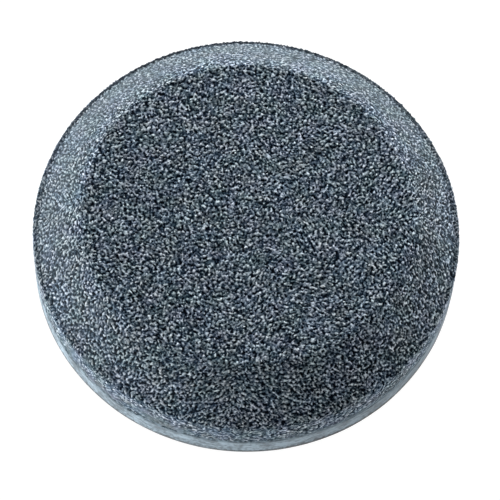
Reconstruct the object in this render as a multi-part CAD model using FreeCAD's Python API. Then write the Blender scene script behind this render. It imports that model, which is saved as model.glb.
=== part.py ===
import FreeCAD, Part
import math
import os

from FreeCAD import Vector

# Disc air stone, 4 in across and 1 in thick. A porous cap is bonded to a dense, airtight base. Air comes in
# through a barbed elbow in a recess under the base, fills the plenum inside the cap and leaves through the
# grain. Millimetres, +Z up. The origin is the centre of the disc on the plane that it stands on, and the air
# hose leaves towards +Y.

# Overall envelope
DISC_RADIUS = 50.8
DISC_HEIGHT = 25.4
WALL_TOP_Z = 15.5  # where the upright wall ends and the bevel starts
TOP_FACE_RADIUS = 38.8
BASE_HEIGHT = 6.4  # height of the base that shows round the wall
WALL_EDGE_ROUND = 1.6
TOP_EDGE_ROUND = 1.2
FOOT_EDGE_ROUND = 1.0
SHOULDER_EDGE_ROUND = 0.4

# Adhesive seam between base and cap
SEAM_THICKNESS = 0.5
SEAM_SETBACK = 0.5

# Plenum inside the cap
PLENUM_RADIUS = 41.0
PLENUM_CEILING_Z = 17.0
PLENUM_CORNER_CHAMFER = 3.0

# Plateau of the base that stands up inside the cap
PLATEAU_GAP = 0.25
PLATEAU_TOP_Z = 12.0
PLATEAU_EDGE_ROUND = 0.8

# Recess and hose channel in the underside
RECESS_HALF_WIDTH = 8.0
RECESS_REACH = 16.0  # from the centre of its first round end to that of its second
RECESS_ROOF_Z = 9.0
RECESS_ROOF_ROUND = 1.5
CHANNEL_WIDTH = 7.0
CHANNEL_HEIGHT = 5.6
CHANNEL_ROOF_ROUND = 2.5

# Inlet elbow, for air hose of 4 mm bore and 6 mm outside
AIRWAY_RADIUS = 1.2
BARB_AXIS_Z = 4.2
BARB_TIP_Y = 14.0
BARB_TIP_LAND = 0.6
BARB_CREST_RADIUS = 2.6
BARB_ROOT_RADIUS = 2.05
BARB_COUNT = 3
BARB_PITCH = 2.8
BARB_CREST_LENGTH = 0.7
ELBOW_BODY_RADIUS = 3.2
FLANGE_RADIUS = 4.8
FLANGE_THICKNESS = 1.4
SHANK_RADIUS = 3.0
SHANK_ROOT_RADIUS = 2.6
SHANK_TOP_Z = 16.0
THREAD_PITCH = 1.0
THREAD_CREST_LENGTH = 0.1

# Washer and nut that clamp the elbow in the roof of the recess
WASHER_RADIUS = 5.2
WASHER_THICKNESS = 1.2
WASHER_HOLE_RADIUS = 3.05
INLET_HOLE_RADIUS = 3.2
NUT_SIDES = 6
NUT_ACROSS_FLATS = 10.0
NUT_FACE_SHARE = 0.95  # of the size across the flats, left flat on top
NUT_HEIGHT = 3.4
NUT_BORE_RADIUS = 3.05
NUT_CORNER_CHAMFER_DEGREES = 30.0

UP = Vector(0, 0, 1)
HOSE_WAY = Vector(0, 1, 0)
OVERCUT = 1.0  # how far a cutting tool runs past the face it opens
TOLERANCE = 1e-4

WASHER_BOTTOM_Z = RECESS_ROOF_Z - WASHER_THICKNESS
FLANGE_BOTTOM_Z = WASHER_BOTTOM_Z - FLANGE_THICKNESS
CAP_BOTTOM_Z = BASE_HEIGHT + SEAM_THICKNESS
PLATEAU_RADIUS = PLENUM_RADIUS - PLATEAU_GAP


def turned(outline):
    """A solid of revolution about Z from (radius, height) points that run round its half section."""
    points = [Vector(radius, 0, height) for radius, height in outline]
    face = Part.Face(Part.makePolygon(points + points[:1]))
    return face.revolve(Vector(0, 0, 0), UP, 360)


def level_circle(edge, radius, height):
    """True for a full circle about Z with this radius at this height."""
    curve = edge.Curve
    if not isinstance(curve, Part.Circle):
        return False
    return abs(curve.Radius - radius) < TOLERANCE and abs(curve.Center.z - height) < TOLERANCE


def rounded_at(solid, radius, height, rounding):
    """The solid with the circular edge at (radius, height) rounded."""
    edges = [edge for edge in solid.Edges if level_circle(edge, radius, height)]
    return solid.makeFillet(rounding, edges)


def porous_cap():
    """The grain moulding: wall, bevel and flat top outside, and the air plenum inside."""
    shell = turned(
        [
            (PLENUM_RADIUS, CAP_BOTTOM_Z),
            (DISC_RADIUS, CAP_BOTTOM_Z),
            (DISC_RADIUS, WALL_TOP_Z),
            (TOP_FACE_RADIUS, DISC_HEIGHT),
            (0, DISC_HEIGHT),
            (0, PLENUM_CEILING_Z),
            (PLENUM_RADIUS - PLENUM_CORNER_CHAMFER, PLENUM_CEILING_Z),
            (PLENUM_RADIUS, PLENUM_CEILING_Z - PLENUM_CORNER_CHAMFER),
        ]
    )
    shell = rounded_at(shell, TOP_FACE_RADIUS, DISC_HEIGHT, TOP_EDGE_ROUND)
    return rounded_at(shell, DISC_RADIUS, WALL_TOP_Z, WALL_EDGE_ROUND)


def bond_ring():
    """The adhesive seam under the cap's wall, set back a little from the outside."""
    return turned(
        [
            (PLENUM_RADIUS, BASE_HEIGHT),
            (DISC_RADIUS - SEAM_SETBACK, BASE_HEIGHT),
            (DISC_RADIUS - SEAM_SETBACK, CAP_BOTTOM_Z),
            (PLENUM_RADIUS, CAP_BOTTOM_Z),
        ]
    )


def recess_tool():
    """The round-ended recess that holds the elbow, with the edge of its roof rounded."""
    depth = RECESS_ROOF_Z + OVERCUT
    near_end = Part.makeCylinder(RECESS_HALF_WIDTH, depth, Vector(0, 0, -OVERCUT))
    far_end = Part.makeCylinder(RECESS_HALF_WIDTH, depth, Vector(0, RECESS_REACH, -OVERCUT))
    middle = Part.makeBox(
        2 * RECESS_HALF_WIDTH,
        RECESS_REACH,
        depth,
        Vector(-RECESS_HALF_WIDTH, 0, -OVERCUT),
    )
    tool = near_end.fuse([middle, far_end]).removeSplitter()
    roof = [edge for edge in tool.Edges if edge.BoundBox.ZMin > RECESS_ROOF_Z - TOLERANCE]
    return tool.makeFillet(RECESS_ROOF_ROUND, roof)


def channel_tool():
    """The hose channel from the recess to the rim, with the two edges of its roof rounded."""
    length = DISC_RADIUS + OVERCUT - RECESS_REACH
    tool = Part.makeBox(
        CHANNEL_WIDTH,
        length,
        CHANNEL_HEIGHT + OVERCUT,
        Vector(-CHANNEL_WIDTH / 2, RECESS_REACH, -OVERCUT),
    )
    roof = [
        edge
        for edge in tool.Edges
        if edge.BoundBox.ZMin > CHANNEL_HEIGHT - TOLERANCE and edge.BoundBox.YLength > length / 2
    ]
    return tool.makeFillet(CHANNEL_ROOF_ROUND, roof)


def base_disc():
    """The dense base: a foot that shows round the wall, and a plateau that closes the plenum from below."""
    blank = turned(
        [
            (0, 0),
            (DISC_RADIUS, 0),
            (DISC_RADIUS, BASE_HEIGHT),
            (PLATEAU_RADIUS, BASE_HEIGHT),
            (PLATEAU_RADIUS, PLATEAU_TOP_Z),
            (0, PLATEAU_TOP_Z),
        ]
    )
    blank = rounded_at(blank, DISC_RADIUS, 0, FOOT_EDGE_ROUND)
    blank = rounded_at(blank, DISC_RADIUS, BASE_HEIGHT, SHOULDER_EDGE_ROUND)
    blank = rounded_at(blank, PLATEAU_RADIUS, PLATEAU_TOP_Z, PLATEAU_EDGE_ROUND)
    inlet_hole = Part.makeCylinder(INLET_HOLE_RADIUS, PLATEAU_TOP_Z + OVERCUT)
    return blank.cut([recess_tool(), channel_tool(), inlet_hole])


def barb_outline():
    """Half section of the hose tail as (radius, distance along it), from the elbow's centre to the tip."""
    outline = [(0, 0), (BARB_ROOT_RADIUS, 0)]
    first_crest_end = BARB_TIP_Y - BARB_TIP_LAND - BARB_PITCH * BARB_COUNT + BARB_CREST_LENGTH
    for barb in range(BARB_COUNT):
        crest_end = first_crest_end + barb * BARB_PITCH
        slope_end = crest_end + BARB_PITCH - BARB_CREST_LENGTH
        outline.append((BARB_ROOT_RADIUS, crest_end - BARB_CREST_LENGTH))
        outline.append((BARB_CREST_RADIUS, crest_end - BARB_CREST_LENGTH))
        outline.append((BARB_CREST_RADIUS, crest_end))
        outline.append((BARB_ROOT_RADIUS, slope_end))
    outline.append((BARB_ROOT_RADIUS, BARB_TIP_Y))
    outline.append((0, BARB_TIP_Y))
    return outline


def shank_outline():
    """Half section of the threaded shank, its thread as rings of one pitch, from the flange to its top."""
    outline = [(0, WASHER_BOTTOM_Z), (SHANK_RADIUS, WASHER_BOTTOM_Z)]
    grooves = int((SHANK_TOP_Z - PLATEAU_TOP_Z) / THREAD_PITCH)
    for groove in range(grooves):
        start = PLATEAU_TOP_Z + groove * THREAD_PITCH
        end = start + THREAD_PITCH - THREAD_CREST_LENGTH
        outline.append((SHANK_RADIUS, start))
        outline.append((SHANK_ROOT_RADIUS, (start + end) / 2))
        outline.append((SHANK_RADIUS, end))
    outline.append((SHANK_RADIUS, SHANK_TOP_Z))
    outline.append((0, SHANK_TOP_Z))
    return outline


def inlet_elbow():
    """The barbed elbow: tail along the hose, ball corner, flange, and a threaded shank up into the plenum."""
    corner_centre = Vector(0, 0, BARB_AXIS_Z)
    tail = turned(barb_outline())
    tail.rotate(Vector(0, 0, 0), Vector(1, 0, 0), -90)
    tail.translate(corner_centre)
    corner = Part.makeSphere(ELBOW_BODY_RADIUS, corner_centre)
    riser = Part.makeCylinder(ELBOW_BODY_RADIUS, FLANGE_BOTTOM_Z - BARB_AXIS_Z, corner_centre)
    flange = Part.makeCylinder(FLANGE_RADIUS, FLANGE_THICKNESS, Vector(0, 0, FLANGE_BOTTOM_Z))
    shank = turned(shank_outline())
    body = tail.fuse([corner, riser, flange, shank]).removeSplitter()
    hose_airway = Part.makeCylinder(AIRWAY_RADIUS, BARB_TIP_Y + OVERCUT, corner_centre, HOSE_WAY)
    riser_airway = Part.makeCylinder(AIRWAY_RADIUS, SHANK_TOP_Z, corner_centre)
    airway_corner = Part.makeSphere(AIRWAY_RADIUS, corner_centre)
    return body.cut(hose_airway.fuse([riser_airway, airway_corner]))


def inlet_washer():
    """The rubber washer that seals the elbow's flange to the roof of the recess."""
    blank = Part.makeCylinder(WASHER_RADIUS, WASHER_THICKNESS, Vector(0, 0, WASHER_BOTTOM_Z))
    return blank.cut(Part.makeCylinder(WASHER_HOLE_RADIUS, RECESS_ROOF_Z))


def inlet_nut():
    """The hexagon nut on top of the plateau, with its upper corners turned off."""
    corner_radius = NUT_ACROSS_FLATS / 2 / math.cos(math.pi / NUT_SIDES)
    turns = [2 * math.pi * corner / NUT_SIDES for corner in range(NUT_SIDES)]
    corners = [Vector(corner_radius * math.cos(a), corner_radius * math.sin(a), PLATEAU_TOP_Z) for a in turns]
    hexagon = Part.Face(Part.makePolygon(corners + corners[:1]))
    blank = hexagon.extrude(UP * NUT_HEIGHT)
    flat_radius = NUT_ACROSS_FLATS / 2 * NUT_FACE_SHARE
    drop = (corner_radius - flat_radius) * math.tan(math.radians(NUT_CORNER_CHAMFER_DEGREES))
    nut_top_z = PLATEAU_TOP_Z + NUT_HEIGHT
    envelope = turned(
        [
            (0, PLATEAU_TOP_Z),
            (corner_radius, PLATEAU_TOP_Z),
            (corner_radius, nut_top_z - drop),
            (flat_radius, nut_top_z),
            (0, nut_top_z),
        ]
    )
    bore = Part.makeCylinder(NUT_BORE_RADIUS, DISC_HEIGHT)
    return blank.common(envelope).cut(bore)


NODES = {
    "base_disc": base_disc,
    "bond_ring": bond_ring,
    "porous_cap": porous_cap,
    "inlet_elbow": inlet_elbow,
    "inlet_washer": inlet_washer,
    "inlet_nut": inlet_nut,
}

os.makedirs("parts", exist_ok=True)
for name, make in NODES.items():
    shape = make()
    solid = shape.Solids[0]
    print(
        f"{name}: {len(shape.Solids)} solid, valid {shape.isValid()}, {solid.Volume:.1f} mm3, "
        f"z {solid.BoundBox.ZMin:.2f} to {solid.BoundBox.ZMax:.2f}"
    )
    solid.exportStep(os.path.join("parts", name + ".step"))
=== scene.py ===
import math

import bmesh
import bpy
import numpy as np
from mathutils import Matrix, Vector


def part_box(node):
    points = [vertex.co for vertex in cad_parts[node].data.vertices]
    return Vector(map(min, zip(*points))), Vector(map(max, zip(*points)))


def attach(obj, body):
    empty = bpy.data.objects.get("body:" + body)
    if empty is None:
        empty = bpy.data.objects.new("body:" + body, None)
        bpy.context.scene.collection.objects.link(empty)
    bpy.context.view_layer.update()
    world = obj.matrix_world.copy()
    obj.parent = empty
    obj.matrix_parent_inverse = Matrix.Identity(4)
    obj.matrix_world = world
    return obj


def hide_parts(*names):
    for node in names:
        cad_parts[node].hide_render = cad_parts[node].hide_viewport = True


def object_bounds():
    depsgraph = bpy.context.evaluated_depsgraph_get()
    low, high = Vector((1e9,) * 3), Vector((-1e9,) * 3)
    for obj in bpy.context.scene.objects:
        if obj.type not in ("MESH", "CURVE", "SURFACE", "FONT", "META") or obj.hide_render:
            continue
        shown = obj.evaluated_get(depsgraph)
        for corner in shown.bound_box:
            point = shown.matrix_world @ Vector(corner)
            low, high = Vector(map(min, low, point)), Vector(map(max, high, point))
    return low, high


# Looks for the disc air stone. Lengths are in metres; MM turns millimetres into them. The disc stands on
# z = 0 with its axis on Z, and the air hose would leave towards +Y. Sides of the disc are angles round it,
# from +X through +Y.

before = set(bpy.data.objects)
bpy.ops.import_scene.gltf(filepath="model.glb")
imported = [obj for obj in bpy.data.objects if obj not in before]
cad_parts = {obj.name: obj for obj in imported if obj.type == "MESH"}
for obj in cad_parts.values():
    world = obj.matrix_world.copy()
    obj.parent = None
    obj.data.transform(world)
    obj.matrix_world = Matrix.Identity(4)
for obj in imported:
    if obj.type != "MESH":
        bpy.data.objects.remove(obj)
cad_low, cad_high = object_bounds()
BODY = "root"
MM = 0.001

# ---------------------------------------------------------------- sizes, from the CAD frame
DISC_RADIUS = cad_high.x
DISC_HEIGHT = cad_high.z
CAP_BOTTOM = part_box("porous_cap")[0].z
BASE_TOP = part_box("bond_ring")[0].z
PLATEAU_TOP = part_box("base_disc")[1].z

# The same shape values as in the CAD source
WALL_TOP = 15.5 * MM
TOP_FACE_RADIUS = 38.8 * MM
TOP_EDGE_ROUND = 1.2 * MM
WALL_EDGE_ROUND = 1.6 * MM
CAP_FOOT_ROUND = 0.35 * MM
PLENUM_RADIUS = 41.0 * MM
PLENUM_CEILING = 17.0 * MM
PLENUM_CHAMFER = 3.0 * MM
PLATEAU_RADIUS = 40.75 * MM
PLATEAU_ROUND = 0.8 * MM
FOOT_ROUND = 1.0 * MM
SHOULDER_ROUND = 0.4 * MM
RECESS_HALF_WIDTH = 8.0 * MM
RECESS_REACH = 16.0 * MM
RECESS_ROOF = 9.0 * MM
CHANNEL_WIDTH = 7.0 * MM
CHANNEL_HEIGHT = 5.6 * MM
CHANNEL_ROUND = 2.5 * MM
INLET_HOLE_RADIUS = 3.2 * MM
OVERCUT = 1.0 * MM

# ---------------------------------------------------------------- how finely the meshes are made
ARC_PITCH = 0.1 * MM
LEAST_ARC_STEPS = 4
ON_AXIS = 1e-7  # a ring nearer to the axis than this is a single point
MESH_PITCH = 0.33 * MM  # from ring to ring on the outside of the cap
RING_STRETCH = 1.155  # from point to point in a ring, in pitches, which makes even triangles
LEAST_SEGMENTS = 6
PLENUM_SEGMENTS = 120
BASE_SEGMENTS = 480
BASE_PITCH = 0.8 * MM
SEAM_SEGMENTS = 720
RECESS_ARC_STEPS = 24
CHANNEL_ARC_STEPS = 8
HOLE_SEGMENTS = 48
BASE_SHARP_ANGLE = math.radians(32)
CAD_SHARP_ANGLE = math.radians(35)

# ---------------------------------------------------------------- grain of the porous cap
GRAIN_SIZE = 0.54 * MM
GRAIN_SEED = 21
WALL_GRAIN_SIZE = 0.85 * MM
WALL_GRAIN_SEED = 51
GRAIN_LAYERS = 4
FIRST_LAYER_TURN = 0.37  # in layers, so that no layer lies along an axis
GRAIN_SPREAD = 5.5  # how many spreads of the grain make the whole range of tones
GRAIN_RELIEF = 0.52 * MM
RELIEF_SPREAD = 2.2
WALL_FADE = 1.0 * MM  # the wall's own grain takes over within this of its top
WALL_CONTRAST = 0.68
WALL_PALER = 0.17
BEVEL_FADE = 2.0 * MM

# Sides of the disc that look a little different
FAR_SIDE = math.radians(90)
FAR_CONTRAST_LOSS = 0.25
CALM_SIDE = math.radians(330)
CALM_POWER = 3
CALM_CONTRAST_LOSS = 0.3
# The painted sheen: a pale haze painted on the bevel, strongest on the far side, standing in for the sheen of
# light grazing the bevel
SHEEN_SIDE = math.radians(100)
SHEEN_FADE = 4.5 * MM
SHEEN_PATCHINESS = 0.35
AWAY_FROM_SHEEN_CONTRAST = 0.25  # more contrast on the bevel away from the painted sheen
# the side of the base that has painted shade
SHADED_SIDE = math.radians(335)
SHADED_SIDE_POWER = 2

# A smear of fine paste over the wall's grain, up to a wavering height
SMEAR_SIDE = math.radians(205)
SMEAR_LOW_TOP = 11.0 * MM
SMEAR_HIGH_TOP = 15.0 * MM
SMEAR_TOP_WAVER = 2.0 * MM
SMEAR_FADE = 1.5 * MM
SMEAR_MEAN = 0.2
SMEAR_PATCHINESS = 1.3
SMEAR_SIDE_MORE = 0.5
SMEAR_SIDE_POWER = 4
SMEAR_FAR_MORE = 0.3
SMEAR_LEAST = 0.12
SMEAR_LEAST_FAR_MORE = 0.33
SMEAR_MOST = 0.8
SMEAR_FILL = 0.35  # how much of the relief it fills

# Painted shade in blots along the foot of the cap, just above the seam, and a dark rough line of painted
# shade where the bevel starts
CAP_FOOT_SHADE_REACH = 1.2 * MM
CAP_FOOT_SHADE_MEAN = 0.42
CAP_FOOT_SHADE_PATCHINESS = 2.2
CAP_FOOT_SHADE_CALM_LOSS = 0.8
# A dark band of painted shade where the bevel starts, for the shaded grains at that edge; the grain is also
# rougher there
RIM_HEIGHT = 16.0 * MM
RIM_BAND = 0.55 * MM
RIM_REACH = 1.9  # in bands: full up to one band less than this, and gone at it
RIM_ROUGHER = 0.6

# Smooth noises as (size of a feature, seed)
PATCHES = (6 * MM, 41)
FINE_PATCHES = (1.6 * MM, 42)
CAP_FOOT_SHADE_BLOTS = (1.2 * MM, 43)
SMEAR_WEAR = (6 * MM, 44)
BASE_DENTS = (9 * MM, 5)
BASE_PITS = (2.5 * MM, 6)
SEAM_BULGES = (2.2 * MM, 8)

# The seam line wanders up and down, in waves given as (share of WANDER, length, seed), and tilts a little
WANDER = 0.45 * MM
WANDER_WAVES = ((0.5, 9 * MM, 31), (0.35, 3 * MM, 32), (0.35, 1.4 * MM, 33))
WANDER_TILT = 1.5
WANDER_HIGH_SIDE = math.radians(340)
WANDER_REACH = 2.0 * MM  # above and below the seam
WANDER_DEPTH = 4.0 * MM  # in from the wall
WANDER_FADE = 3.0 * MM

# Unevenness of the base and the seam, only in their outermost skin
SKIN = 2.0 * MM
SKIN_FADE = 1.0 * MM
DENT_DEPTH = 0.09 * MM
PIT_DEPTH = 0.04 * MM
SEAM_ROUND = 0.1 * MM
SEAM_BULGE_DEPTH = 0.22 * MM

# The cap's map: the outside in a large circle and the plenum in a small one, each as (centre, radius)
OUTSIDE_MAP = (0.5, 0.49)
PLENUM_MAP = (0.073, 0.07)


# ---------------------------------------------------------------- mesh helpers
def rounded_outline(corners):
    """(radius, height) points of an outline whose corners are (radius, height, rounding)."""
    points = []
    for i, (r, z, rounding) in enumerate(corners):
        here = Vector((r, z))
        if rounding <= 0 or i in (0, len(corners) - 1):
            points.append(here)
            continue
        back = (Vector(corners[i - 1][:2]) - here).normalized()
        ahead = (Vector(corners[i + 1][:2]) - here).normalized()
        half = back.angle(ahead) / 2
        reach = rounding / math.tan(half)
        centre = here + (back + ahead).normalized() * (rounding / math.sin(half))
        start = here + back * reach - centre
        end = here + ahead * reach - centre
        turn = start.angle_signed(end)
        steps = max(LEAST_ARC_STEPS, int(rounding * abs(turn) / ARC_PITCH))
        points += [centre + Matrix.Rotation(-turn * k / steps, 2) @ start for k in range(steps + 1)]
    return np.array([tuple(p) for p in points])


def resampled(outline, pitch):
    """The outline at even steps of about one pitch, with the unit normal on its left at each point."""
    steps = np.linalg.norm(np.diff(outline, axis=0), axis=1)
    along = np.concatenate([[0.0], np.cumsum(steps)])
    count = max(2, int(round(along[-1] / pitch)) + 1)
    at = np.linspace(0, along[-1], count)
    points = np.stack([np.interp(at, along, outline[:, k]) for k in (0, 1)], axis=1)
    slope = np.gradient(points, axis=0)
    normals = np.stack([-slope[:, 1], slope[:, 0]], axis=1)
    normals /= np.linalg.norm(normals, axis=1)[:, None]
    return points, normals


def stitched(lower, upper):
    """Triangles between two rings of vertex numbers that may differ in count, both starting near angle 0."""
    m, n = len(lower), len(upper)
    faces = []
    i = j = 0
    while i < m or j < n:
        if j >= n or (i < m and (i + 1) / m <= (j + 1) / n):
            faces.append((lower[i % m], lower[(i + 1) % m], upper[j % n]))
            i += 1
        else:
            faces.append((lower[i % m], upper[(j + 1) % n], upper[j % n]))
            j += 1
    return faces


class Rings:
    """A closed turned mesh, made ring by ring from one end of its outline to the other."""

    def __init__(self):
        self.points = []
        self.normals = []
        self.faces = []
        self.last = None
        self.count = 0

    def add(self, radius, height, segments, normal=(0, 0), twist=0.0):
        """One more ring, joined to the last. The normal is (outward, upward); the twist is in segments."""
        if radius < ON_AXIS:
            angles = np.zeros(1)
        else:
            angles = 2 * math.pi * (np.arange(segments) + twist) / segments
        across = np.stack([np.cos(angles), np.sin(angles)], axis=1)
        level = np.ones((len(angles), 1))
        self.points.append(np.hstack([radius * across, height * level]))
        self.normals.append(np.hstack([normal[0] * across, normal[1] * level]))
        numbers = list(range(self.count, self.count + len(angles)))
        self.count += len(angles)
        if self.last is not None:
            if len(self.last) == 1:
                self.faces += [(self.last[0], a, b) for a, b in zip(numbers, numbers[1:] + numbers[:1])]
            elif len(numbers) == 1:
                self.faces += [(b, a, numbers[0]) for a, b in zip(self.last, self.last[1:] + self.last[:1])]
            else:
                self.faces += [(a, c, b) for a, b, c in stitched(self.last, numbers)]
        self.last = numbers

    def arrays(self):
        return np.concatenate(self.points), np.concatenate(self.normals), self.faces


def mesh_object(name, points, faces, smooth=True):
    mesh = bpy.data.meshes.new(name)
    mesh.from_pydata(points.tolist(), [], faces)
    mesh.validate()
    mesh.polygons.foreach_set("use_smooth", [smooth] * len(mesh.polygons))
    obj = bpy.data.objects.new(name, mesh)
    bpy.context.scene.collection.objects.link(obj)
    return obj


def store(obj, name, values):
    """Stores a value at each point, for the material to read."""
    attribute = obj.data.attributes.new(name, "FLOAT", "POINT")
    attribute.data.foreach_set("value", values.astype(np.float32))


def turn_of(co):
    """The angle of each point round the disc."""
    return np.arctan2(co[:, 1], co[:, 0])


def on_side(turn, side):
    """1 on this side of the disc, falling to 0 a quarter turn away."""
    return np.clip(np.cos(turn - side), 0, 1)


def in_skin(co):
    """1 at the wall, falling to 0 deeper than the outermost skin."""
    radius = np.hypot(co[:, 0], co[:, 1])
    return np.clip((radius - (DISC_RADIUS - SKIN)) / SKIN_FADE, 0, 1)


def pressed_in(co, depth):
    """Points moved towards the disc's axis by this much."""
    radius = np.hypot(co[:, 0], co[:, 1])
    scale = 1 - depth / np.maximum(radius, ON_AXIS)
    return co * np.stack([scale, scale, np.ones(len(co))], axis=1)


# ---------------------------------------------------------------- seeded grain and waviness
# Factors and shifts of the hash that every random number here comes from
CELL_FACTORS = (73856093, 19349663, 83492791)
CHANNEL_FACTOR = 2654435761
MIX_FACTOR = 2246822519
MIX_SHIFTS = (15, 13, 16)
LOW_32_BITS = 0xFFFFFFFF
KEPT_BITS = 24


def cell_random(cells, channel):
    """A repeatable random number from 0 to 1 for each integer cell."""
    c = cells.astype(np.int64).astype(np.uint64)
    x, y, z = (c[..., k] * np.uint64(CELL_FACTORS[k]) for k in range(3))
    mixed = (x ^ y ^ z) + np.uint64(channel * CHANNEL_FACTOR)
    for shift in MIX_SHIFTS:
        mixed = (mixed ^ (mixed >> np.uint64(shift))) * np.uint64(MIX_FACTOR)
        mixed &= np.uint64(LOW_32_BITS)
    return (mixed >> np.uint64(32 - KEPT_BITS)).astype(float) / float(1 << KEPT_BITS)


def gradient_noise(flat, seed):
    """Seeded gradient noise over flat coordinates, one cell to the unit."""
    home = np.floor(flat).astype(int)
    part = flat - home
    ease = part**3 * (part * (part * 6 - 15) + 10)
    total = np.zeros(len(flat))
    for dx in (0, 1):
        for dy in (0, 1):
            corner = np.array([dx, dy])
            cell = np.concatenate([home + corner, np.zeros((len(flat), 1), int)], axis=1)
            turn = 2 * math.pi * cell_random(cell, seed)
            slope = (part[:, 0] - dx) * np.cos(turn) + (part[:, 1] - dy) * np.sin(turn)
            total += slope * np.prod(np.where(corner == 1, ease, 1 - ease), axis=1)
    return total


def grain_field(flat, size, seed):
    """Light and dark spots of about this size, with a spread of 1. Turned layers are added, so that no
    direction shows."""
    total = np.zeros(len(flat))
    for layer in range(GRAIN_LAYERS):
        a = math.pi / 2 * (layer + FIRST_LAYER_TURN) / GRAIN_LAYERS
        spun = flat @ np.array([[math.cos(a), -math.sin(a)], [math.sin(a), math.cos(a)]])
        total += gradient_noise(spun / size, seed + layer)
    return total / total.std()


def smooth_noise(points, size, seed):
    """Value noise from -1 to 1 with features of about this size."""
    scaled = points / size
    home = np.floor(scaled).astype(int)
    part = scaled - home
    ease = part * part * (3 - 2 * part)
    total = np.zeros(len(points))
    for dx in (0, 1):
        for dy in (0, 1):
            for dz in (0, 1):
                corner = np.array([dx, dy, dz])
                weight = np.prod(np.where(corner == 1, ease, 1 - ease), axis=1)
                total += weight * cell_random(home + corner, seed)
    return 2 * total - 1


def flattened(co):
    """The points brought down to z = 0, so that a noise over them changes only round the disc."""
    return co * np.array([1, 1, 0.0])


def wandered(co):
    """Points moved with the seam line, which wanders up and down on the wall. All pieces there move alike."""
    seam = (CAP_BOTTOM + BASE_TOP) / 2
    radius = np.hypot(co[:, 0], co[:, 1])
    wave = np.zeros(len(co))
    for share, length, seed in WANDER_WAVES:
        wave += share * smooth_noise(flattened(co), length, seed)
    wave += WANDER_TILT * np.cos(turn_of(co) - WANDER_HIGH_SIDE)
    near_wall = np.clip((radius - (DISC_RADIUS - WANDER_DEPTH)) / WANDER_FADE, 0, 1)
    near_seam = np.exp(-(((co[:, 2] - seam) / WANDER_REACH) ** 2))
    moved = co.copy()
    moved[:, 2] += WANDER * wave * near_wall * near_seam * (co[:, 2] > FOOT_ROUND)
    return moved


# ---------------------------------------------------------------- the porous cap
def cap_rings():
    """The cap's rings, fine outside and plain in the plenum, how far along the outline each outer point
    lies, and how many faces the outside has."""
    outside = rounded_outline(
        [
            (0, DISC_HEIGHT, 0),
            (TOP_FACE_RADIUS, DISC_HEIGHT, TOP_EDGE_ROUND),
            (DISC_RADIUS, WALL_TOP, WALL_EDGE_ROUND),
            (DISC_RADIUS, CAP_BOTTOM, CAP_FOOT_ROUND),
            (DISC_RADIUS - 2 * CAP_FOOT_ROUND, CAP_BOTTOM, 0),
        ]
    )
    plenum = (
        (PLENUM_RADIUS, CAP_BOTTOM),
        (PLENUM_RADIUS, PLENUM_CEILING - PLENUM_CHAMFER),
        (PLENUM_RADIUS - PLENUM_CHAMFER, PLENUM_CEILING),
        (PLENUM_RADIUS / 2, PLENUM_CEILING),
        (0, PLENUM_CEILING),
    )
    rings = Rings()
    reach = []
    for k, (point, normal) in enumerate(zip(*resampled(outside, MESH_PITCH))):
        segments = max(LEAST_SEGMENTS, int(round(2 * math.pi * point[0] / (MESH_PITCH * RING_STRETCH))))
        rings.add(point[0], point[1], segments, normal, twist=0.5 * (k % 2))
        reach.append(np.full(len(rings.last), MESH_PITCH * k))
    outer_faces = len(rings.faces)
    for radius, height in plenum:
        rings.add(radius, height, PLENUM_SEGMENTS)
    return rings, np.concatenate(reach), outer_faces


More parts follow.
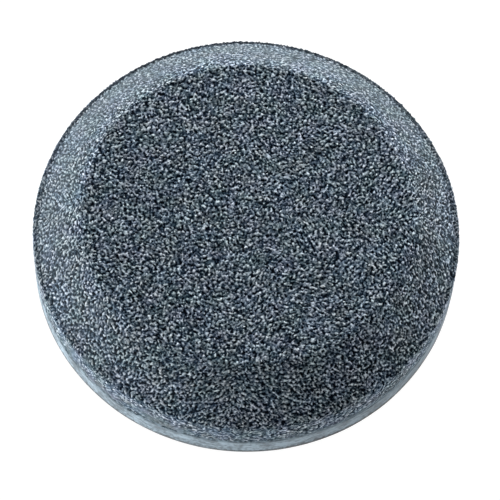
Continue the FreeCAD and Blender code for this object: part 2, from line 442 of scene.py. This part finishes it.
def cap_surface(co, flat):
    """What the cap is like at each outer point: the values that the material reads, and the pores' depth."""
    turn = turn_of(co)
    height = co[:, 2]
    calm = on_side(turn, CALM_SIDE) ** CALM_POWER
    far = on_side(turn, FAR_SIDE)
    side = on_side(turn, SMEAR_SIDE)
    # weight towards the far side, where the painted sheen and the painted shade where the bevel starts are
    # strongest
    toward_sheen_side = 0.5 + 0.5 * np.cos(turn - SHEEN_SIDE)
    patchy = smooth_noise(co, *PATCHES) + 0.5 * smooth_noise(co, *FINE_PATCHES)
    bevel = np.clip((height - WALL_TOP) / BEVEL_FADE, 0, 1)
    bevel *= np.clip((DISC_HEIGHT - height) / SHEEN_FADE, 0, 1)

    on_wall = np.clip((WALL_TOP - height) / WALL_FADE, 0, 1)
    wall_contrast = WALL_CONTRAST * (1 - CALM_CONTRAST_LOSS * calm - FAR_CONTRAST_LOSS * far)
    wall_field = wall_contrast * grain_field(flat, WALL_GRAIN_SIZE, WALL_GRAIN_SEED) + WALL_PALER
    field = grain_field(flat, GRAIN_SIZE, GRAIN_SEED) * (1 - on_wall) + wall_field * on_wall
    contrast = 1 + AWAY_FROM_SHEEN_CONTRAST * bevel * (1 - toward_sheen_side)
    tone = np.clip(0.5 + field * contrast / GRAIN_SPREAD, 0, 1)

    smear_top = SMEAR_LOW_TOP + (SMEAR_HIGH_TOP - SMEAR_LOW_TOP) * np.maximum(side, far)
    smear_top += SMEAR_TOP_WAVER * patchy
    worn = SMEAR_MEAN + SMEAR_PATCHINESS * smooth_noise(co, *SMEAR_WEAR)
    worn += SMEAR_SIDE_MORE * side**SMEAR_SIDE_POWER + SMEAR_FAR_MORE * far
    worn = np.clip(worn, SMEAR_LEAST + SMEAR_LEAST_FAR_MORE * far, SMEAR_MOST)
    smear = np.clip((smear_top - height) / SMEAR_FADE, 0, 1) * worn

    # painted shade just above the seam, in blots, fading upwards from the foot of the cap
    blots = np.clip(CAP_FOOT_SHADE_MEAN + CAP_FOOT_SHADE_PATCHINESS * smooth_noise(co, *CAP_FOOT_SHADE_BLOTS), 0, 1)
    cap_foot_shade = np.clip(np.exp((CAP_BOTTOM - height) / CAP_FOOT_SHADE_REACH), 0, 1) * blots * (1 - CAP_FOOT_SHADE_CALM_LOSS * calm)
    # painted shade: a dark band where the bevel starts, strongest on the far side
    shaded_rim = np.clip(RIM_REACH - np.abs(height - RIM_HEIGHT) / RIM_BAND, 0, 1) * toward_sheen_side
    # painted sheen: a pale haze on the bevel, strongest on the far side
    painted_sheen = bevel * toward_sheen_side * (1 + SHEEN_PATCHINESS * patchy)

    hollow = 0.5 - 0.5 * np.clip(field / RELIEF_SPREAD, -1, 1)
    depth = GRAIN_RELIEF * hollow * (1 - SMEAR_FILL * smear) * (1 + RIM_ROUGHER * shaded_rim)
    return {"tone": tone, "smear": smear, "cap_foot_shade": cap_foot_shade, "shaded_rim": shaded_rim, "painted_sheen": painted_sheen}, depth


def map_cap(cap, co, flat, outer_faces):
    """Lays out the cap for baking: the outside rolled out flat, and the plenum small in a corner."""
    outside = OUTSIDE_MAP[0] + OUTSIDE_MAP[1] * flat / np.linalg.norm(flat, axis=1).max()
    turn = turn_of(co)
    reach = np.hypot(co[:, 0], co[:, 1]) + (PLENUM_CEILING - co[:, 2])
    widest = reach[len(flat) - 1 :].max()
    rolled = np.stack([reach * np.cos(turn), reach * np.sin(turn)], axis=1)
    plenum = PLENUM_MAP[0] + PLENUM_MAP[1] * rolled / widest
    corners = np.zeros(len(cap.data.loops), int)
    cap.data.loops.foreach_get("vertex_index", corners)
    face_of_corner = np.repeat(np.arange(len(cap.data.polygons)), 3)
    is_outside = (face_of_corner < outer_faces)[:, None]
    uv = np.where(is_outside, outside[np.minimum(corners, len(flat) - 1)], plenum[corners])
    layer = cap.data.uv_layers.new(name="OFBake")
    layer.data.foreach_set("uv", uv.ravel().astype(np.float32))


def make_cap():
    """The porous cap: every visible face has raised grains with pores between them; the plenum is plain."""
    rings, reach, outer_faces = cap_rings()
    co, out, faces = rings.arrays()
    outer = co[: len(reach)]
    turn = turn_of(outer)
    flat = np.stack([reach * np.cos(turn), reach * np.sin(turn)], axis=1)
    values, depth = cap_surface(outer, flat)
    depth = np.concatenate([depth, np.zeros(len(co) - len(outer))])
    co = wandered(co - out * depth[:, None])
    cap = mesh_object("grain_cap", co, faces)
    for name, value in values.items():
        plain = 0.5 if name == "tone" else 0.0
        store(cap, name, np.concatenate([value, np.full(len(co) - len(outer), plain)]))
    map_cap(cap, co, flat, outer_faces)
    return cap


# ---------------------------------------------------------------- the dense base
def arc(centre, radius, start, sweep, steps):
    """Points of an arc in a plane, from this angle on through this sweep."""
    angles = [start + sweep * k / steps for k in range(steps + 1)]
    return [(centre[0] + radius * math.cos(a), centre[1] + radius * math.sin(a)) for a in angles]


def prism(name, outline, axis, end):
    """A closed solid: a flat outline carried along an axis, by its number, to this end."""
    bm = bmesh.new()
    face = bm.faces.new([bm.verts.new(point) for point in outline])
    lifted = bmesh.ops.extrude_face_region(bm, geom=[face])
    for vertex in (g for g in lifted["geom"] if isinstance(g, bmesh.types.BMVert)):
        vertex.co[axis] = end
    bmesh.ops.recalc_face_normals(bm, faces=bm.faces)
    mesh = bpy.data.meshes.new(name)
    bm.to_mesh(mesh)
    bm.free()
    return bpy.data.objects.new(name, mesh)


def cutting_tools():
    """Recess, hose channel and inlet hole, each as a closed tool."""
    recess = arc((0, RECESS_REACH), RECESS_HALF_WIDTH, 0, math.pi, RECESS_ARC_STEPS)
    recess += arc((0, 0), RECESS_HALF_WIDTH, math.pi, math.pi, RECESS_ARC_STEPS)

    half = CHANNEL_WIDTH / 2
    corner_x = half - CHANNEL_ROUND
    corner_z = CHANNEL_HEIGHT - CHANNEL_ROUND
    quarter = math.pi / 2
    channel = [(half, -OVERCUT)]
    channel += arc((corner_x, corner_z), CHANNEL_ROUND, 0, quarter, CHANNEL_ARC_STEPS)
    channel += arc((-corner_x, corner_z), CHANNEL_ROUND, quarter, quarter, CHANNEL_ARC_STEPS)
    channel += [(-half, -OVERCUT)]

    hole = arc((0, 0), INLET_HOLE_RADIUS, 0, 2 * math.pi, HOLE_SEGMENTS)[:-1]
    return [
        prism("recess_tool", [(x, y, -OVERCUT) for x, y in recess], 2, RECESS_ROOF),
        prism("channel_tool", [(x, RECESS_REACH, z) for x, z in channel], 1, DISC_RADIUS + OVERCUT),
        prism("hole_tool", [(x, y, OVERCUT) for x, y in hole], 2, PLATEAU_TOP + 2 * OVERCUT),
    ]


def cut(obj, tools):
    """Cuts the tools out of obj and drops them."""
    for tool in tools:
        bpy.context.scene.collection.objects.link(tool)
        modifier = obj.modifiers.new("cut", "BOOLEAN")
        modifier.operation = "DIFFERENCE"
        modifier.solver = "EXACT"
        modifier.object = tool
    depsgraph = bpy.context.evaluated_depsgraph_get()
    mesh = bpy.data.meshes.new_from_object(obj.evaluated_get(depsgraph))
    obj.modifiers.clear()
    obj.data = mesh
    for tool in tools:
        bpy.data.objects.remove(tool)


def make_base():
    """The dense base: a slightly uneven wall, a plateau inside the cap, recess and channel underneath."""
    outline = rounded_outline(
        [
            (0, PLATEAU_TOP, 0),
            (PLATEAU_RADIUS, PLATEAU_TOP, PLATEAU_ROUND),
            (PLATEAU_RADIUS, BASE_TOP, 0),
            (DISC_RADIUS, BASE_TOP, SHOULDER_ROUND),
            (DISC_RADIUS, 0, FOOT_ROUND),
            (0, 0, 0),
        ]
    )
    rings = Rings()
    for a, b in zip(outline[:-1], outline[1:]):
        steps = 1
        if a[0] > PLATEAU_RADIUS - MM and b[0] > DISC_RADIUS - SKIN:
            steps = max(1, int(np.linalg.norm(b - a) / BASE_PITCH))
        for k in range(steps):
            radius, height = a + (b - a) * k / steps
            rings.add(radius, height, BASE_SEGMENTS)
    rings.add(0, 0, BASE_SEGMENTS)
    co, _, faces = rings.arrays()
    dents = DENT_DEPTH * (1 - smooth_noise(co, *BASE_DENTS)) / 2
    pits = PIT_DEPTH * (1 - smooth_noise(co, *BASE_PITS)) / 2
    above_foot = np.clip(co[:, 2] / BASE_PITCH, 0, 1)
    co = pressed_in(co, in_skin(co) * above_foot * (dents + pits))
    base = mesh_object("dense_base", wandered(co), faces)
    # how much painted side shade each point of the base takes
    store(base, "side_shade", on_side(turn_of(co), SHADED_SIDE) ** SHADED_SIDE_POWER)
    cut(base, cutting_tools())
    base.data.polygons.foreach_set("use_smooth", [True] * len(base.data.polygons))
    base.data.set_sharp_from_angle(angle=BASE_SHARP_ANGLE)
    return base


# ---------------------------------------------------------------- the adhesive seam
def make_seam():
    """The adhesive seam: a bead that fills the gap between cap and base and bulges unevenly."""
    edge = DISC_RADIUS - SEAM_ROUND
    outline = rounded_outline(
        [
            (PLENUM_RADIUS, CAP_BOTTOM, 0),
            (edge, CAP_BOTTOM, SEAM_ROUND),
            (edge, BASE_TOP, SEAM_ROUND),
            (PLENUM_RADIUS, BASE_TOP, 0),
        ]
    )
    rings = Rings()
    loops = []
    for radius, height in outline:
        rings.add(radius, height, SEAM_SEGMENTS)
        loops.append(rings.last)
    rings.faces += [(a, c, b) for a, b, c in stitched(loops[-1], loops[0])]
    co, _, faces = rings.arrays()
    bulges = (1 + smooth_noise(flattened(co), *SEAM_BULGES)) / 2
    co = pressed_in(co, in_skin(co) * SEAM_BULGE_DEPTH * bulges)
    seam = mesh_object("adhesive_seam", wandered(co), faces)
    store(seam, "pale", on_side(turn_of(co), CALM_SIDE) ** CALM_POWER)
    return seam


# ---------------------------------------------------------------- materials
class Nodes:
    """Short names for building one material. Colours are linear RGB."""

    def __init__(self, name):
        self.material = bpy.data.materials.new(name)
        self.material.use_nodes = True
        self.tree = self.material.node_tree
        self.shader = self.tree.nodes["Principled BSDF"]
        self.place = self.tree.nodes.new("ShaderNodeTexCoord").outputs["Object"]

    def feed(self, socket, value):
        """Links a socket's output, or sets a plain value."""
        if isinstance(value, bpy.types.NodeSocket):
            self.tree.links.new(value, socket)
        else:
            socket.default_value = value

    def node(self, kind, **inputs):
        made = self.tree.nodes.new("ShaderNode" + kind)
        for name, value in inputs.items():
            self.feed(made.inputs[name], value)
        return made

    def stored(self, name):
        """A value stored on the mesh."""
        made = self.node("Attribute")
        made.attribute_name = name
        return made.outputs["Fac"]

    def math(self, operation, a, b, clamp=False):
        made = self.node("Math")
        made.operation = operation
        made.use_clamp = clamp
        self.feed(made.inputs[0], a)
        self.feed(made.inputs[1], b)
        return made.outputs[0]

    def times(self, a, b):
        return self.math("MULTIPLY", a, b)

    def vector_math(self, operation, a, b=None):
        made = self.node("VectorMath")
        made.operation = operation
        self.feed(made.inputs[0], a)
        if b is not None:
            self.feed(made.inputs["Scale" if operation == "SCALE" else 1], b)
        return made.outputs[0]

    def span(self, value, low, high, to_low=0.0, to_high=1.0):
        """value from low..high onto to_low..to_high, clamped and eased."""
        made = self.node("MapRange")
        made.interpolation_type = "SMOOTHSTEP"
        for socket, number in zip(made.inputs[:5], (value, low, high, to_low, to_high)):
            self.feed(socket, number)
        return made.outputs[0]

    def mix(self, factor, a, b, blend_type="MIX"):
        made = self.node("Mix")
        made.data_type = "RGBA"
        made.blend_type = blend_type
        self.feed(made.inputs[0], factor)
        for socket, colour in ((made.inputs[6], a), (made.inputs[7], b)):
            self.feed(socket, colour if isinstance(colour, bpy.types.NodeSocket) else (*colour, 1))
        return made.outputs[2]

    def ramp(self, value, stops):
        made = self.node("ValToRGB", Fac=value)
        elements = made.color_ramp.elements
        while len(elements) < len(stops):
            elements.new(0.5)
        for element, (at, colour) in zip(elements, stops):
            element.position = at
            element.color = (*colour, 1)
        return made.outputs[0]

    def noise(self, size, detail=2.0, roughness=0.5, place=None):
        made = self.node("TexNoise", Vector=place or self.place, Scale=1 / size)
        made.inputs["Detail"].default_value = detail
        made.inputs["Roughness"].default_value = roughness
        return made.outputs["Fac"]

    def cells(self, size):
        return self.node("TexVoronoi", Vector=self.place, Scale=1 / size)

    def lot(self, cells):
        """One random number from 0 to 1 for each cell."""
        return self.node("SeparateColor", Color=cells.outputs["Color"]).outputs[0]

    def bump(self, height, strength, distance):
        return self.node("Bump", Height=height, Strength=strength, Distance=distance).outputs[0]


def tint(level):
    """The grain's blue-grey at a brightness level."""
    return (0.80 * level, 1.0 * level, 1.20 * level)


def stone(level):
    """The base's greener blue-grey at a brightness level."""
    return (0.78 * level, 1.0 * level, 1.17 * level)


# Colours of the grain, from the deepest pores to the brightest crystals
GRAIN_TONES = (
    (0.00, (0.0002, 0.001, 0.003)),
    (0.27, (0.0005, 0.002, 0.006)),
    (0.38, (0.010, 0.024, 0.043)),
    (0.50, (0.073, 0.107, 0.143)),
    (0.62, (0.196, 0.250, 0.304)),
    (0.76, (0.53, 0.62, 0.71)),
    (0.90, (0.83, 0.92, 1.0)),
)
SMEAR_TONES = ((0.3, tint(0.09)), (0.7, tint(0.36)))
# colour of the painted shade along the cap's foot
CAP_FOOT_SHADE_COLOUR = (0.022, 0.046, 0.058)
# colour of the painted sheen on the bevel
SHEEN_COLOUR = (0.172, 0.21, 0.236)
# colour of the painted shade where the bevel starts
RIM_SHADE_COLOUR = (0.004, 0.008, 0.014)
SMEAR_CLOUD_SIZE = 0.9 * MM

# How strongly each layer shows
CAP_FOOT_SHADE_COVER = 0.7
SHEEN_COVER = 0.42
RIM_SHADE_COVER = 0.92

# Single crystals within the grain
CRYSTAL_SIZE = 0.46 * MM
SPLINTER_SIZE = 0.26 * MM
CRYSTAL_SHARE = 0.42
CRYSTAL_SMEAR_LOSS = 0.45
CRYSTAL_LEAN = 0.6
CRYSTAL_LEAN_SMEAR_LOSS = 0.2

# Red and blue drift apart slowly over the surface, less in the bright crystals
HUE_DRIFT = 0.09
HUE_DRIFT_SIZE = 5 * MM
BRIGHT_DRIFT = 0.4
BLUE_PATTERN_SHIFT = (0.1, 0.07, 0.03)


def hue_drift(n, colour, tone):
    """The colour with its red and its blue each drifting on a pattern of its own."""
    amount = n.span(tone, 0.45, 0.8, 1.0, BRIGHT_DRIFT)
    shifted = n.node("Mapping", Vector=n.place, Location=BLUE_PATTERN_SHIFT).outputs[0]
    for channel, place in ((0, n.place), (2, shifted)):
        less = np.ones(3)
        less[channel] -= HUE_DRIFT
        more = np.ones(3)
        more[channel] += HUE_DRIFT
        pattern = n.span(n.noise(HUE_DRIFT_SIZE, 1, place=place), 0.3, 0.7)
        colour = n.mix(amount, colour, n.mix(pattern, less, more), "MULTIPLY")
    return colour


def grain_material():
    """Bonded mineral grain: light and dark crystals, dark pores, a smeared wall, painted shade along the
    cap's foot and where the bevel starts, and a painted sheen on the bevel.
    """
    n = Nodes("bonded_grain")
    s = n.shader
    crystals = n.cells(CRYSTAL_SIZE)
    splinters = n.cells(SPLINTER_SIZE)
    smear = n.stored("smear")
    share = n.times(n.math("SUBTRACT", 1.0, n.times(smear, CRYSTAL_SMEAR_LOSS)), CRYSTAL_SHARE)
    mosaic = n.times(n.math("SUBTRACT", n.lot(crystals), 0.5), share)
    tone = n.math("ADD", n.stored("tone"), mosaic, clamp=True)
    colour = n.ramp(tone, GRAIN_TONES)
    colour = n.mix(smear, colour, n.ramp(n.noise(SMEAR_CLOUD_SIZE, 3, 0.6), SMEAR_TONES))
    # painted shade along the cap's foot, above the seam
    colour = n.mix(n.times(n.stored("cap_foot_shade"), CAP_FOOT_SHADE_COVER), colour, CAP_FOOT_SHADE_COLOUR)
    colour = hue_drift(n, colour, tone)
    # the painted sheen over the bevel
    colour = n.mix(n.times(n.stored("painted_sheen"), SHEEN_COVER), colour, SHEEN_COLOUR)
    # painted shade where the bevel starts
    colour = n.mix(n.times(n.stored("shaded_rim"), RIM_SHADE_COVER), colour, RIM_SHADE_COLOUR)
    n.feed(s.inputs["Base Color"], colour)
    n.feed(s.inputs["Roughness"], n.span(n.math("SUBTRACT", tone, n.lot(splinters)), -0.6, 0.6, 0.8, 0.38))
    s.inputs["Specular IOR Level"].default_value = 0.02

    # each crystal's face leans its own way
    lean = n.vector_math("SUBTRACT", crystals.outputs["Color"], (0.5, 0.5, 0.5))
    amount = n.math("SUBTRACT", CRYSTAL_LEAN, n.times(smear, CRYSTAL_LEAN_SMEAR_LOSS))
    bump = n.bump(n.math("SUBTRACT", 1.0, splinters.outputs["Distance"]), 0.5, 0.12 * MM)
    leaned = n.vector_math("ADD", bump, n.vector_math("SCALE", lean, amount))
    n.feed(s.inputs["Normal"], n.vector_math("NORMALIZE", leaned))
    return n.material


# The dense base: a mottled pattern, with painted shade on one side, a painted shadow at the foot and painted
# shade at the shoulder under the seam
BASE_TONES = ((0.43, stone(0.18)), (0.5, stone(0.325)), (0.57, stone(0.48)))
STREAK_SHARE = 0.45
MOTTLE_SHARE = 0.30
BLOTCH_SHARE = 0.25
STREAK_SQUEEZE = (0.35, 0.35, 1.2)
BAND_RAGGEDNESS = 2.4 * MM
# painted shade on one side of the base
SIDE_SHADE_COVER = 0.36
# The foot band: painted shadow at the bottom of the base, where it meets the floor
FOOT_CLEAR_HEIGHT = 2.6 * MM
FOOT_FULL_HEIGHT = 0.9 * MM
FOOT_SHADOW_RISE = 0.3 * MM
FOOT_SHADOW_COVER = 0.8
FOOT_SHADOW_COLOUR = (0.056, 0.061, 0.063)
# darker painted shadow at the foot on the side with painted shade
SHADED_SIDE_FOOT_SHADOW_COLOUR = (0.022, 0.022, 0.022)
# painted shade on the base's shoulder, in the groove under the seam
SHOULDER_SHADE_COVER = 0.35
SHOULDER_SHADE_LOSS = 0.8

SEAM_TONES = ((0.40, (0.010, 0.028, 0.040)), (0.57, (0.23, 0.31, 0.37)))
SEAM_PALE_COVER = 0.75


def base_material():
    """Dense smooth base: pale blue-grey with mottles and faint level streaks, with painted shade on one side,
    and darker at both of its edges as painted shade.
    """
    n = Nodes("dense_base")
    s = n.shader
    stretched = n.node("Mapping", Vector=n.place, Scale=STREAK_SQUEEZE).outputs[0]
    streaks = n.noise(1.1 * MM, 4, 0.6, place=stretched)
    mottle = n.noise(0.9 * MM, 2, 0.6)
    blotch = n.noise(5 * MM, 2)
    pattern = n.math("ADD", n.times(streaks, STREAK_SHARE), n.times(blotch, BLOTCH_SHARE))
    pattern = n.math("ADD", pattern, n.times(mottle, MOTTLE_SHARE))
    colour = n.ramp(pattern, BASE_TONES)
    # painted shade on one side of the base
    side_shade = n.stored("side_shade")
    colour = n.mix(n.times(side_shade, SIDE_SHADE_COVER), colour, stone(0.12))
    height = n.node("SeparateXYZ", Vector=n.place).outputs[2]
    ragged = n.math("ADD", height, n.times(n.math("SUBTRACT", mottle, 0.5), BAND_RAGGEDNESS))
    # painted shadow at the foot of the base, rising higher on the side with painted shade
    above_foot = n.math("SUBTRACT", ragged, n.times(side_shade, FOOT_SHADOW_RISE))
    cover = n.math("ADD", FOOT_SHADOW_COVER, n.times(side_shade, 1 - FOOT_SHADOW_COVER))
    foot = n.times(n.span(above_foot, FOOT_CLEAR_HEIGHT, FOOT_FULL_HEIGHT), cover)
    colour = n.mix(foot, colour, n.mix(side_shade, FOOT_SHADOW_COLOUR, SHADED_SIDE_FOOT_SHADOW_COLOUR))
    # painted shade on the base's shoulder, under the seam, weaker on the side with painted side shade
    shoulder = n.span(ragged, BASE_TOP - 0.6 * MM, BASE_TOP + 0.2 * MM, 0.0, SHOULDER_SHADE_COVER)
    shoulder = n.times(shoulder, n.math("SUBTRACT", 1.0, n.times(side_shade, SHOULDER_SHADE_LOSS)))
    colour = n.mix(shoulder, colour, tint(0.10))
    n.feed(s.inputs["Base Color"], colour)
    n.feed(s.inputs["Roughness"], n.span(streaks, 0.3, 0.7, 0.5, 0.68))
    s.inputs["Specular IOR Level"].default_value = 0.22
    n.feed(s.inputs["Normal"], n.bump(pattern, 0.35, 0.1 * MM))
    return n.material


def seam_material():
    """Dark adhesive with cloudy patches, paler on the calm side."""
    n = Nodes("adhesive")
    s = n.shader
    colour = n.ramp(n.noise(0.9 * MM), SEAM_TONES)
    colour = n.mix(n.times(n.stored("pale"), SEAM_PALE_COVER), colour, stone(0.40))
    n.feed(s.inputs["Base Color"], colour)
    n.feed(s.inputs["Roughness"], n.span(n.noise(0.7 * MM), 0.3, 0.7, 0.45, 0.65))
    s.inputs["Specular IOR Level"].default_value = 0.15
    return n.material


def moulded_material(name, tones, mottle_size, gloss_size, roughness, bump):
    """A dark moulded material with mottled tones, uneven gloss and a fine (size, strength, depth) texture."""
    n = Nodes(name)
    s = n.shader
    size, strength, depth = bump
    n.feed(s.inputs["Base Color"], n.ramp(n.noise(mottle_size, 3), tones))
    n.feed(s.inputs["Roughness"], n.span(n.noise(gloss_size), 0.3, 0.7, *roughness))
    n.feed(s.inputs["Normal"], n.bump(n.noise(size), strength, depth))
    return n.material


def plastic_material():
    """Black moulded plastic with a fine spark-eroded texture and a slight dusting."""
    tones = ((0.3, (0.018, 0.019, 0.021)), (0.7, (0.036, 0.038, 0.041)))
    texture = (0.12 * MM, 0.25, 0.03 * MM)
    return moulded_material("moulded_plastic", tones, 1.2 * MM, 0.6 * MM, (0.38, 0.55), texture)


def rubber_material():
    """Matt black rubber with a dull bloom, as if dusted."""
    tones = ((0.3, (0.012, 0.012, 0.012)), (0.75, (0.04, 0.04, 0.042)))
    texture = (0.15 * MM, 0.3, 0.04 * MM)
    return moulded_material("seal_rubber", tones, 0.8 * MM, 0.5 * MM, (0.75, 0.92), texture)


def dress(obj, material):
    obj.data.materials.clear()
    obj.data.materials.append(material)


# ---------------------------------------------------------------- the object
cap = make_cap()
dress(cap, grain_material())
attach(cap, BODY)
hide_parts("porous_cap")

base = make_base()
dress(base, base_material())
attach(base, BODY)
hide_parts("base_disc")

seam = make_seam()
dress(seam, seam_material())
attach(seam, BODY)
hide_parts("bond_ring")

plastic = plastic_material()
for node, material in (("inlet_elbow", plastic), ("inlet_nut", plastic), ("inlet_washer", rubber_material())):
    dress(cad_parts[node], material)
    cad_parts[node].data.set_sharp_from_angle(angle=CAD_SHARP_ANGLE)


# ---------------------------------------------------------------- stage, light and camera
FLOOR_REACH = 1.5
FLOOR_DROP = 0.05 * MM
FLOOR_GREY = (0.15, 0.15, 0.15, 1)
FLOOR_GLOW = 0.97


def make_floor():
    """A plain white floor that glows a little, as a light table does. From below it is see-through."""
    corners = [(-1, -1), (1, -1), (1, 1), (-1, 1)]
    points = np.array([(x * FLOOR_REACH, y * FLOOR_REACH, -FLOOR_DROP) for x, y in corners])
    floor = mesh_object("floor", points, [(0, 1, 2, 3)], smooth=False)
    n = Nodes("floor")
    n.shader.inputs["Base Color"].default_value = FLOOR_GREY
    n.shader.inputs["Roughness"].default_value = 0.9
    n.shader.inputs["Specular IOR Level"].default_value = 0.0
    n.shader.inputs["Emission Color"].default_value = (1, 1, 1, 1)
    n.shader.inputs["Emission Strength"].default_value = FLOOR_GLOW
    clear = n.node("BsdfTransparent")
    choose = n.node("MixShader", Fac=n.node("NewGeometry").outputs["Backfacing"])
    n.tree.links.new(n.shader.outputs[0], choose.inputs[1])
    n.tree.links.new(clear.outputs[0], choose.inputs[2])
    n.tree.links.new(choose.outputs[0], n.tree.nodes["Material Output"].inputs["Surface"])
    dress(floor, n.material)


def make_world():
    """A white backdrop that is seen but gives no light."""
    world = bpy.data.worlds.new("studio")
    bpy.context.scene.world = world
    world.use_nodes = True
    background = world.node_tree.nodes["Background"]
    background.inputs["Color"].default_value = (1, 1, 1, 1)
    ray = world.node_tree.nodes.new("ShaderNodeLightPath")
    world.node_tree.links.new(ray.outputs["Is Camera Ray"], background.inputs["Strength"])


LIGHT_DISTANCE = 0.9
LIGHT_WIDTH = 0.6
STRIP_HEIGHT = 0.1


def area_light(name, azimuth, elevation, height, watts):
    """A soft light that looks at the disc. Azimuth 0 is the camera's side, 90 is +X; angles in degrees."""
    a, e = math.radians(azimuth), math.radians(elevation)
    away = Vector((math.sin(a) * math.cos(e), -math.cos(a) * math.cos(e), math.sin(e)))
    light = bpy.data.lights.new(name, "AREA")
    light.shape = "RECTANGLE"
    light.size = LIGHT_WIDTH
    light.size_y = height
    light.energy = watts
    obj = bpy.data.objects.new(name, light)
    obj.location = away * LIGHT_DISTANCE
    obj.rotation_euler = (-away).to_track_quat("-Z", "Y").to_euler()
    bpy.context.scene.collection.objects.link(obj)


CAMERA_ELEVATION = math.radians(65.89)
CAMERA_ROLL = math.radians(3.73)
CAMERA_DISTANCE = 13 * DISC_RADIUS
CAMERA_LENS = 196.3  # in mm, on a sensor 36 mm wide
SENSOR_WIDTH = 36
NEAREST_SEEN = 0.01
FARTHEST_SEEN = 10
AIM_RIGHT = 1.226 * MM
AIM_UP = 1.307 * MM


def make_camera():
    """The camera looks from -Y, high up, rolled a little, and aims just off the disc's origin."""
    e = CAMERA_ELEVATION
    back = Vector((0, -math.cos(e), math.sin(e)))
    level_right = Vector((1, 0, 0))
    level_up = Vector((0, math.sin(e), math.cos(e)))
    right = level_right * math.cos(CAMERA_ROLL) + level_up * math.sin(CAMERA_ROLL)
    up = level_up * math.cos(CAMERA_ROLL) - level_right * math.sin(CAMERA_ROLL)
    data = bpy.data.cameras.new("camera")
    data.sensor_width = SENSOR_WIDTH
    data.lens = CAMERA_LENS
    data.clip_start = NEAREST_SEEN
    data.clip_end = FARTHEST_SEEN
    camera = bpy.data.objects.new("camera", data)
    place = back * CAMERA_DISTANCE + right * AIM_RIGHT + up * AIM_UP
    camera.matrix_world = Matrix(
        (
            (right.x, up.x, back.x, place.x),
            (right.y, up.y, back.y, place.y),
            (right.z, up.z, back.z, place.z),
            (0, 0, 0, 1),
        )
    )
    bpy.context.scene.collection.objects.link(camera)
    bpy.context.scene.camera = camera


# A ring of low softboxes as (azimuth, watts), strongest behind and to the left
SOFTBOX_ELEVATION = 14
SOFTBOXES = ((90, 1.9), (135, 6.65), (180, 7.3), (225, 7.4), (270, 2.6), (315, 2.7))

make_floor()
make_world()
for azimuth, watts in SOFTBOXES:
    area_light("softbox", azimuth, SOFTBOX_ELEVATION, height=LIGHT_WIDTH, watts=watts)
area_light("low_strip", azimuth=292, elevation=4, height=STRIP_HEIGHT, watts=4.8)
area_light("overhead", azimuth=0, elevation=89, height=LIGHT_WIDTH, watts=0.42)
make_camera()
bpy.context.scene.view_settings.view_transform = "Standard"
